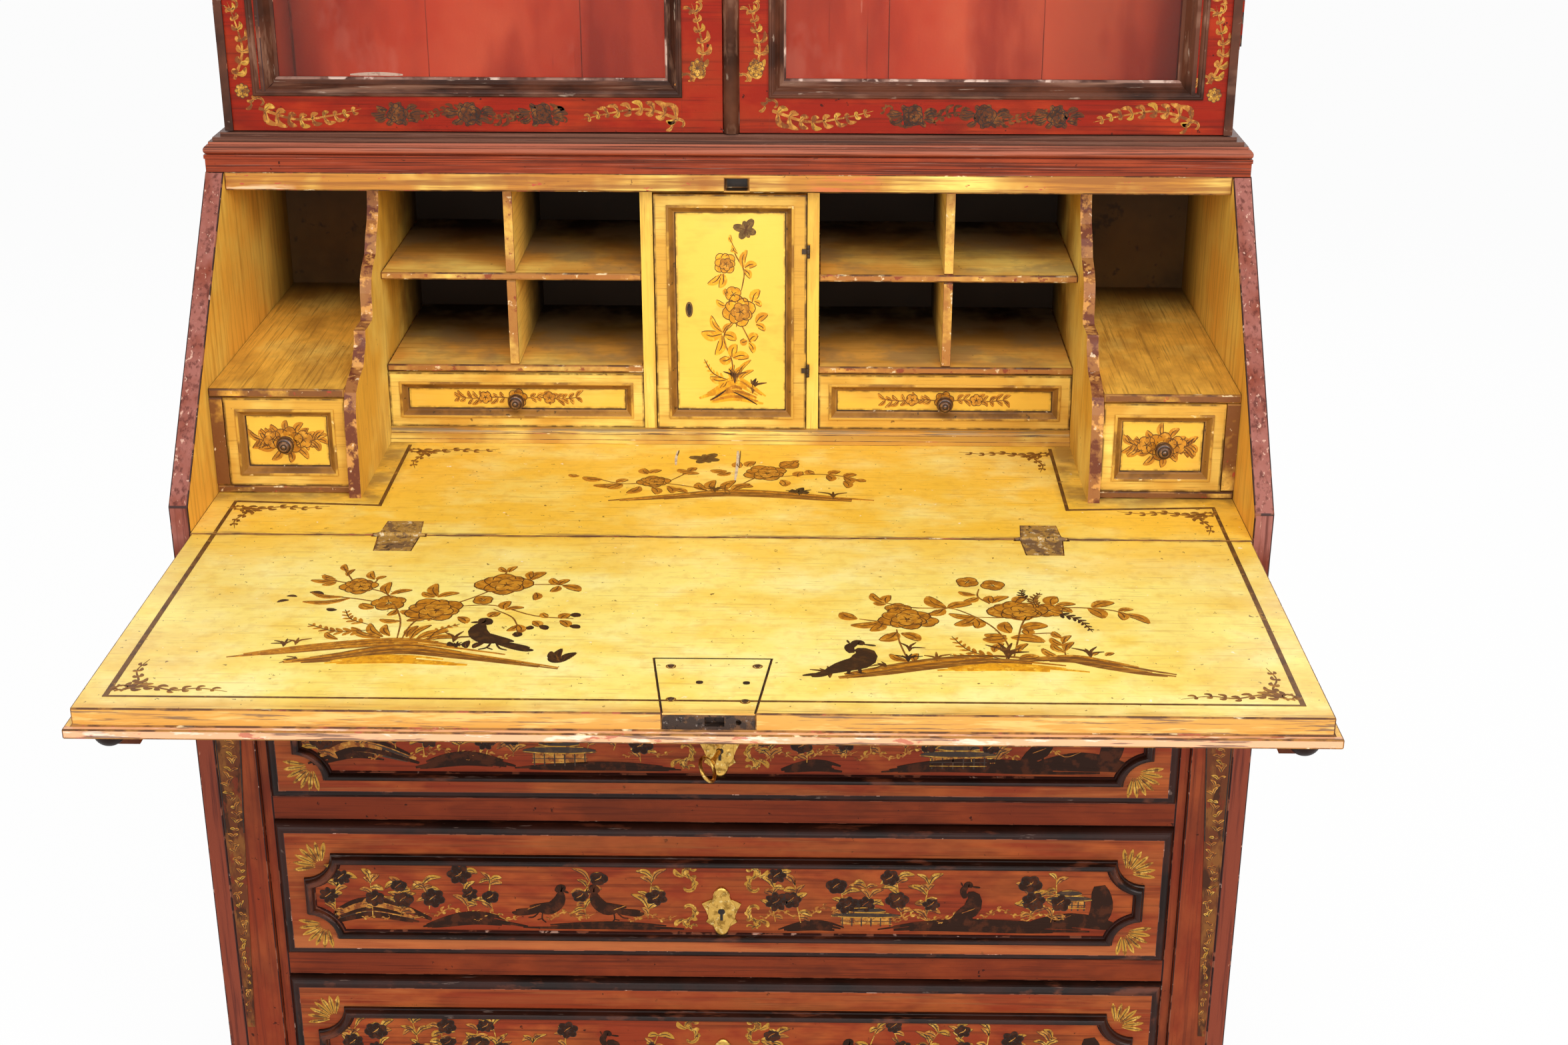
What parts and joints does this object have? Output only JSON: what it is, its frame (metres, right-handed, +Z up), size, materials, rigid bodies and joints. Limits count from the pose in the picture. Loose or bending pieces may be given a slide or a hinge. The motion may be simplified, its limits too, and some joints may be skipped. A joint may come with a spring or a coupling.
{
  "type": "bureau cabinet",
  "caption": "Japanned bureau cabinet: slope-front desk with fall, lopers, long drawers and fitted interior under a cabinet with glazed doors.",
  "frame": {"origin": "on the floor, under the centre of the bounding box with the fall open", "axes": "+Z up, +Y toward the back, front toward -Y, +X to the right seen from the front"},
  "size_m": [1.177, 0.92, 2.2346],
  "materials": {
    "yellow_japanning": "satin",
    "red_japanning": "satin",
    "dark_japanning": "satin",
    "bare_oak": "matt",
    "gilding": "gilt",
    "brass": "satin",
    "iron": "dull",
    "glass": "clear"
  },
  "bodies": {
    "case": {"side_boards": "yellow_japanning", "desk_top": "yellow_japanning", "bed_boards": "yellow_japanning", "back_boards": "bare_oak", "front_rails": "red_japanning", "corner_stiles": "red_japanning", "gilt_strips": "gilding", "dust_boards": "bare_oak", "loper_cases": "bare_oak", "base_moulding": "dark_japanning", "feet": "dark_japanning", "waist_moulding": "red_japanning", "upper_sides": "red_japanning", "upper_boards": "red_japanning", "upper_back": "red_japanning", "cornice": "red_japanning", "cornice_top": "bare_oak", "upper_hinges": "iron", "partitions": "yellow_japanning", "housings": "yellow_japanning", "block_shelves": "yellow_japanning", "dividers": "yellow_japanning", "cupboard_walls": "yellow_japanning", "plinth": "yellow_japanning", "bed_hinges": "iron"},
    "fall": {"fall_board": "yellow_japanning", "fall_hinges": "iron", "lock_cover": "iron", "fall_lock": "iron"},
    "left_loper": {"left_loper": "bare_oak"},
    "right_loper": {"right_loper": "bare_oak"},
    "drawer_1": {"drawer_1_front": "red_japanning", "drawer_1_moulding": "dark_japanning", "drawer_1_box": "bare_oak", "drawer_1_lock": "brass"},
    "drawer_2": {"drawer_2_front": "red_japanning", "drawer_2_moulding": "dark_japanning", "drawer_2_box": "bare_oak", "drawer_2_lock": "brass"},
    "drawer_3": {"drawer_3_front": "red_japanning", "drawer_3_moulding": "dark_japanning", "drawer_3_box": "bare_oak", "drawer_3_lock": "brass"},
    "key": {"key": "brass"},
    "lock_bolt": {"drawer_1_bolt": "iron"},
    "left_block_drawer": {"left_block_drawer": "yellow_japanning"},
    "right_block_drawer": {"right_block_drawer": "yellow_japanning"},
    "left_house_drawer": {"left_house_drawer": "yellow_japanning"},
    "right_house_drawer": {"right_house_drawer": "yellow_japanning"},
    "cupboard_door": {"cupboard_door": "yellow_japanning"},
    "left_upper_door": {"left_door": "red_japanning", "left_door_moulding": "dark_japanning", "left_door_glass": "glass"},
    "right_upper_door": {"right_door": "red_japanning", "right_door_moulding": "dark_japanning", "right_door_glass": "glass"}
  },
  "joints": [
    {"name": "fall_hinge", "type": "hinge", "parent": "case", "child": "fall", "pos_m": [0, -0.068, 0.8], "axis": [1, 0, 0], "range_deg": [-131.3, 0]},
    {"name": "left_loper_slide", "type": "slide", "parent": "case", "child": "left_loper", "axis": [0, 1, 0], "range_m": [0, 0.283]},
    {"name": "right_loper_slide", "type": "slide", "parent": "case", "child": "right_loper", "axis": [0, 1, 0], "range_m": [0, 0.283]},
    {"name": "drawer_1_slide", "type": "slide", "parent": "case", "child": "drawer_1", "axis": [0, -1, 0], "range_m": [0, 0.33]},
    {"name": "drawer_2_slide", "type": "slide", "parent": "case", "child": "drawer_2", "axis": [0, -1, 0], "range_m": [0, 0.33]},
    {"name": "drawer_3_slide", "type": "slide", "parent": "case", "child": "drawer_3", "axis": [0, -1, 0], "range_m": [0, 0.33]},
    {"name": "key_turn", "type": "hinge", "parent": "drawer_1", "child": "key", "pos_m": [-0.002, -0.074, 0.558], "axis": [-0.2588, -0.9659, 0], "range_deg": [0, 90]},
    {"name": "lock_bolt_slide", "type": "slide", "parent": "drawer_1", "child": "lock_bolt", "axis": [0, 0, 1], "range_m": [0, 0.0115]},
    {"name": "left_block_drawer_slide", "type": "slide", "parent": "case", "child": "left_block_drawer", "axis": [0, -1, 0], "range_m": [0, 0.18]},
    {"name": "right_block_drawer_slide", "type": "slide", "parent": "case", "child": "right_block_drawer", "axis": [0, -1, 0], "range_m": [0, 0.18]},
    {"name": "left_house_drawer_slide", "type": "slide", "parent": "case", "child": "left_house_drawer", "axis": [0, -1, 0], "range_m": [0, 0.25]},
    {"name": "right_house_drawer_slide", "type": "slide", "parent": "case", "child": "right_house_drawer", "axis": [0, -1, 0], "range_m": [0, 0.25]},
    {"name": "cupboard_door_hinge", "type": "hinge", "parent": "case", "child": "cupboard_door", "pos_m": [0.0876, 0.2032, 0.955], "axis": [0, 0, 1], "range_deg": [0, 92]},
    {"name": "left_upper_door_hinge", "type": "hinge", "parent": "case", "child": "left_upper_door", "pos_m": [-0.5419, 0.2253, 1.66], "axis": [0, 0, -1], "range_deg": [0, 110]},
    {"name": "right_upper_door_hinge", "type": "hinge", "parent": "case", "child": "right_upper_door", "pos_m": [0.5419, 0.2253, 1.66], "axis": [0, 0, 1], "range_deg": [0, 110]}
  ],
  "couplings": [
    {"joint": "lock_bolt_slide", "follows": "key_turn", "m_per_rad": 0.007321}
  ]
}
